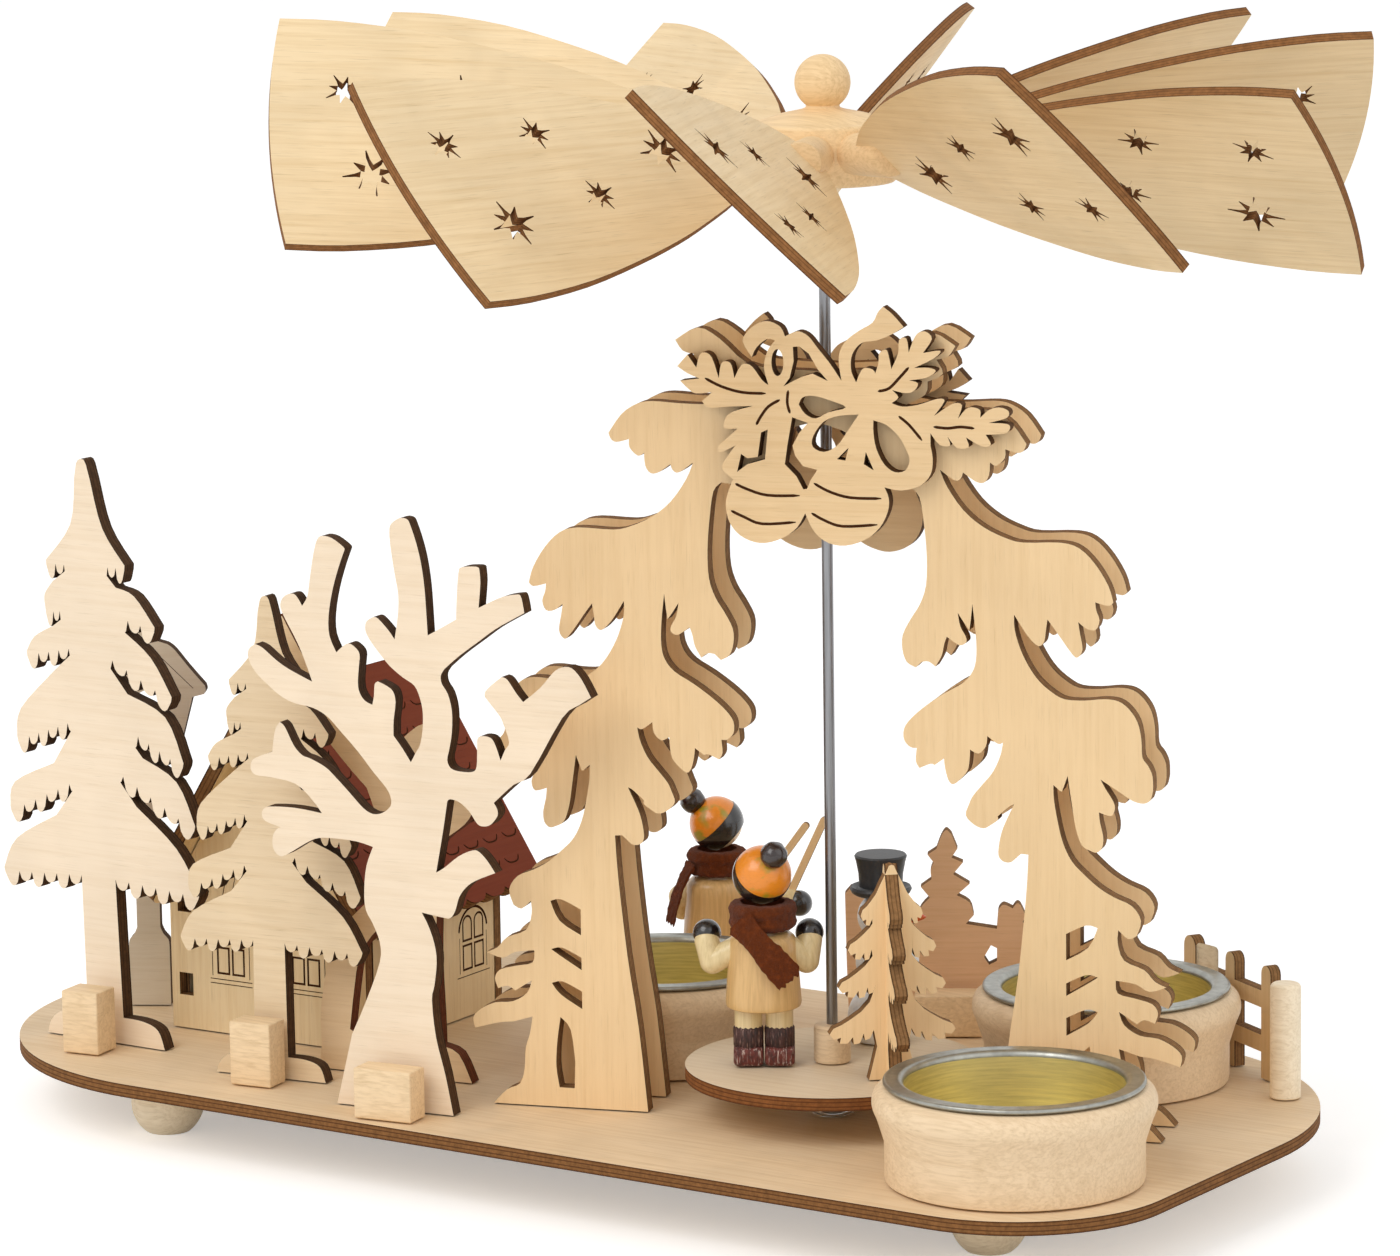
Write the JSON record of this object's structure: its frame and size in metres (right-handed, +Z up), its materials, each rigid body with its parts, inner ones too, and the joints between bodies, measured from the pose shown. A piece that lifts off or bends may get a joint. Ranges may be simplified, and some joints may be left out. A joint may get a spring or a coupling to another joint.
{
  "type": "christmas pyramid",
  "caption": "Tabletop candle pyramid: a pitched wing wheel turns a steel shaft and a small stage of figures inside a twin laser-cut spruce arch beside a winter village.",
  "frame": {"origin": "on the table, under the middle of the whole model's box", "axes": "+X along the base board from the village end to the arch end, +Y to the back, +Z up the shaft"},
  "size_m": [0.2924, 0.2052, 0.2236],
  "materials": {
    "board_plywood": "raw birch plywood, sanded",
    "pale_plywood": "laser-cut birch plywood, brown cut edges",
    "warm_plywood": "laser-cut beech plywood, brown cut edges",
    "turned_wood": "turned, fine-sanded",
    "coat_wood": "turned, clear lacquer",
    "cap_wood": "turned, painted cap",
    "roof_wood": "stained plywood",
    "wall_wood": "engraved plywood",
    "white_wood": "turned, painted white",
    "black_wood": "turned, painted black",
    "scarf_felt": "brown felt",
    "shaft_steel": "drawn wire",
    "insert_brass": "pressed sheet, satin",
    "bearing_glass": "moulded glass"
  },
  "bodies": {
    "stand": {"base_board": "board_plywood", "foot_front_left": "turned_wood", "foot_front_right": "turned_wood", "foot_back_right": "turned_wood", "foot_back_left": "turned_wood", "arch_front": "warm_plywood", "arch_back": "warm_plywood", "ornament_front": "warm_plywood", "ornament_back": "warm_plywood", "shaft_guide_block": "turned_wood", "candle_cup_front": "turned_wood", "candle_insert_front": "insert_brass", "candle_cup_back_right": "turned_wood", "candle_insert_back_right": "insert_brass", "candle_cup_back_left": "turned_wood", "candle_insert_back_left": "insert_brass", "glass_bearing": "bearing_glass", "fir_front": "pale_plywood", "fir_middle": "pale_plywood", "bare_tree_front": "pale_plywood", "bare_tree_rear": "pale_plywood", "bird_house": "pale_plywood", "back_panel": "pale_plywood", "fence": "pale_plywood", "stop_block_front_fir": "warm_plywood", "stop_block_middle_fir": "warm_plywood", "stop_block_bare_tree": "warm_plywood", "stop_block_back_panel": "warm_plywood", "fence_post": "warm_plywood", "house_gable_front": "wall_wood", "house_gable_back": "wall_wood", "house_wall_left": "wall_wood", "house_wall_right": "wall_wood", "house_roof_left": "roof_wood", "house_roof_right": "roof_wood", "rear_child_body": "coat_wood", "rear_child_scarf": "scarf_felt", "rear_child_head": "cap_wood", "rear_child_ski_arm": "warm_plywood"},
    "wing_wheel": {"shaft": "shaft_steel", "hub": "turned_wood", "shaft_collar": "turned_wood", "turntable": "pale_plywood", "child_body": "coat_wood", "child_scarf": "scarf_felt", "child_head": "cap_wood", "snowman": "white_wood", "snowman_hat": "black_wood", "slotted_fir": "warm_plywood"},
    "blade_01": {"wing_01": "pale_plywood"},
    "blade_02": {"wing_02": "pale_plywood"},
    "blade_03": {"wing_03": "pale_plywood"},
    "blade_04": {"wing_04": "pale_plywood"},
    "blade_05": {"wing_05": "pale_plywood"},
    "blade_06": {"wing_06": "pale_plywood"},
    "blade_07": {"wing_07": "pale_plywood"},
    "blade_08": {"wing_08": "pale_plywood"},
    "blade_09": {"wing_09": "pale_plywood"},
    "blade_10": {"wing_10": "pale_plywood"}
  },
  "joints": [
    {"name": "rotor_spin", "type": "hinge", "parent": "stand", "child": "wing_wheel", "pos_m": [0.04375, -0.00031, 0.0244], "axis": [0, 0, 1], "continuous": true},
    {"name": "wing_01_pitch", "type": "hinge", "parent": "wing_wheel", "child": "blade_01", "pos_m": [0.06111, -0.01021, 0.19822], "axis": [0.8678, -0.495, 0.0436], "range_deg": [-15, 15]},
    {"name": "wing_02_pitch", "type": "hinge", "parent": "wing_wheel", "child": "blade_02", "pos_m": [0.06362, 0.00189, 0.19683], "axis": [0.9936, 0.1097, -0.0262], "range_deg": [-15, 15]},
    {"name": "wing_03_pitch", "type": "hinge", "parent": "wing_wheel", "child": "blade_03", "pos_m": [0.05854, 0.01315, 0.19787], "axis": [0.7394, 0.6728, 0.0262], "range_deg": [-15, 15]},
    {"name": "wing_04_pitch", "type": "hinge", "parent": "wing_wheel", "child": "blade_04", "pos_m": [0.0478, 0.01927, 0.19805], "axis": [0.2027, 0.9786, 0.0349], "range_deg": [-15, 15]},
    {"name": "wing_05_pitch", "type": "hinge", "parent": "wing_wheel", "child": "blade_05", "pos_m": [0.03552, 0.01792, 0.19735], "axis": [-0.4115, 0.9114, 0], "range_deg": [-15, 15]},
    {"name": "wing_06_pitch", "type": "hinge", "parent": "wing_wheel", "child": "blade_06", "pos_m": [0.02638, 0.0096, 0.197], "axis": [-0.8685, 0.4954, -0.0175], "range_deg": [-15, 15]},
    {"name": "wing_07_pitch", "type": "hinge", "parent": "wing_wheel", "child": "blade_07", "pos_m": [0.02388, -0.0025, 0.1977], "axis": [-0.9938, -0.1097, 0.0175], "range_deg": [-15, 15]},
    {"name": "wing_08_pitch", "type": "hinge", "parent": "wing_wheel", "child": "blade_08", "pos_m": [0.02899, -0.01374, 0.19857], "axis": [-0.7383, -0.6718, 0.061], "range_deg": [-15, 15]},
    {"name": "wing_09_pitch", "type": "hinge", "parent": "wing_wheel", "child": "blade_09", "pos_m": [0.0397, -0.01989, 0.19735], "axis": [-0.2028, -0.9792, 0], "range_deg": [-15, 15]},
    {"name": "wing_10_pitch", "type": "hinge", "parent": "wing_wheel", "child": "blade_10", "pos_m": [0.05198, -0.01853, 0.1977], "axis": [0.4115, -0.9113, 0.0175], "range_deg": [-15, 15]}
  ]
}
